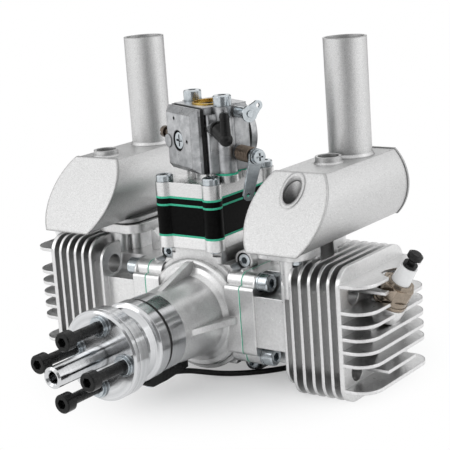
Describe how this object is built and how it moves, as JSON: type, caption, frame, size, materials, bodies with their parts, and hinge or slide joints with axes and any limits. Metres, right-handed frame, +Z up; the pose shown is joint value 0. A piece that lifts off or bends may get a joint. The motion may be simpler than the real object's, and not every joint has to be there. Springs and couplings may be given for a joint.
{
  "type": "flat aircraft engine",
  "caption": "Horizontally opposed two-stroke model aircraft engine with finned cylinders, box silencers with upright outlet tubes, top carburettor on a reed block and a long propeller hub.",
  "frame": {"origin": "on the crank axis, in the plane of the four rear mounting bosses", "axes": "+Z up to the carburettor, -Y to the propeller, +X to the right cylinder"},
  "size_m": [0.22, 0.2108, 0.1557],
  "materials": {
    "case": "satin cast",
    "cylinder": "satin cast",
    "silencer": "bead blasted",
    "polished": "polished",
    "machined": "machined",
    "diecast": "satin die cast",
    "zinc": "bright zinc plated",
    "nickel": "nickel plated",
    "steel": "ground",
    "bearing": "polished",
    "spring_steel": "tempered",
    "black_oxide": "black oxide",
    "brass": "satin",
    "ceramic": "glazed",
    "gasket": "matte",
    "black_gasket": "matte",
    "seal": "matte",
    "spacer": "matte",
    "black_plastic": "satin",
    "lead": "satin"
  },
  "bodies": {
    "engine": {"crankcase_front": "case", "crankcase_rear": "case", "case_screws": "zinc", "nose_bearing": "bearing", "main_bearings": "bearing", "shaft_seal": "seal", "nose_ring": "polished", "rear_cover": "case", "cylinder_right": "cylinder", "cylinder_left": "cylinder", "base_gaskets": "gasket", "cylinder_screws": "zinc", "exhaust_gaskets": "black_gasket", "silencer_right": "silencer", "silencer_left": "silencer", "silencer_end_plates": "silencer", "outlet_tubes": "silencer", "plug_shells": "nickel", "plug_insulators": "ceramic", "plug_terminals": "black_oxide", "intake_gaskets": "gasket", "spacer_block": "spacer", "reed_plate": "spacer", "reed_petals": "spring_steel", "intake_adapter": "machined", "intake_screws": "zinc", "carb_body": "diecast", "throat_rim": "brass", "carb_gaskets": "black_gasket", "metering_cover": "diecast", "pump_cover": "diecast", "cover_screws": "zinc", "fuel_elbow": "black_plastic", "mixture_screws": "spring_steel", "throttle_spring": "spring_steel", "hall_sensor": "black_plastic", "sensor_lead": "lead", "lead_coil": "lead", "lead_connector": "black_plastic"},
    "crank": {"crankshaft": "steel", "prop_hub": "polished", "prop_washer": "polished", "prop_bolts": "black_oxide", "bolt_washers": "zinc", "prop_stud": "machined"},
    "throttle": {"throttle_shaft": "zinc", "throttle_plate": "brass", "throttle_lever": "zinc", "lever_screw": "zinc"},
    "choke": {"choke_shaft": "zinc", "choke_plate": "brass", "choke_lever": "zinc"},
    "piston_right": {"piston_right": "machined", "wrist_pin_right": "steel", "rod_right": "steel", "crankpin_right": "steel"},
    "piston_left": {"piston_left": "machined", "wrist_pin_left": "steel", "rod_left": "steel", "crankpin_left": "steel"}
  },
  "joints": [
    {"name": "crank_spin", "type": "hinge", "parent": "engine", "child": "crank", "pos_m": [0, -0.036, 0], "axis": [0, 1, 0], "continuous": true},
    {"name": "piston_right_slide", "type": "slide", "parent": "engine", "child": "piston_right", "axis": [-1, 0, 0], "range_m": [0, 0.028]},
    {"name": "piston_left_slide", "type": "slide", "parent": "engine", "child": "piston_left", "axis": [1, 0, 0], "range_m": [0, 0.028]},
    {"name": "throttle_turn", "type": "hinge", "parent": "engine", "child": "throttle", "pos_m": [0.0044, -0.0355, 0.0755], "axis": [0.9135, -0.4067, 0], "range_deg": [0, 75], "stiffness_Nm_per_rad": 0.006},
    {"name": "choke_turn", "type": "hinge", "parent": "engine", "child": "choke", "pos_m": [0.0044, -0.0355, 0.0945], "axis": [-0.9135, 0.4067, 0], "range_deg": [0, 75]}
  ],
  "couplings": [
    {"joint": "piston_left_slide", "follows": "piston_right_slide", "ratio": 1}
  ]
}
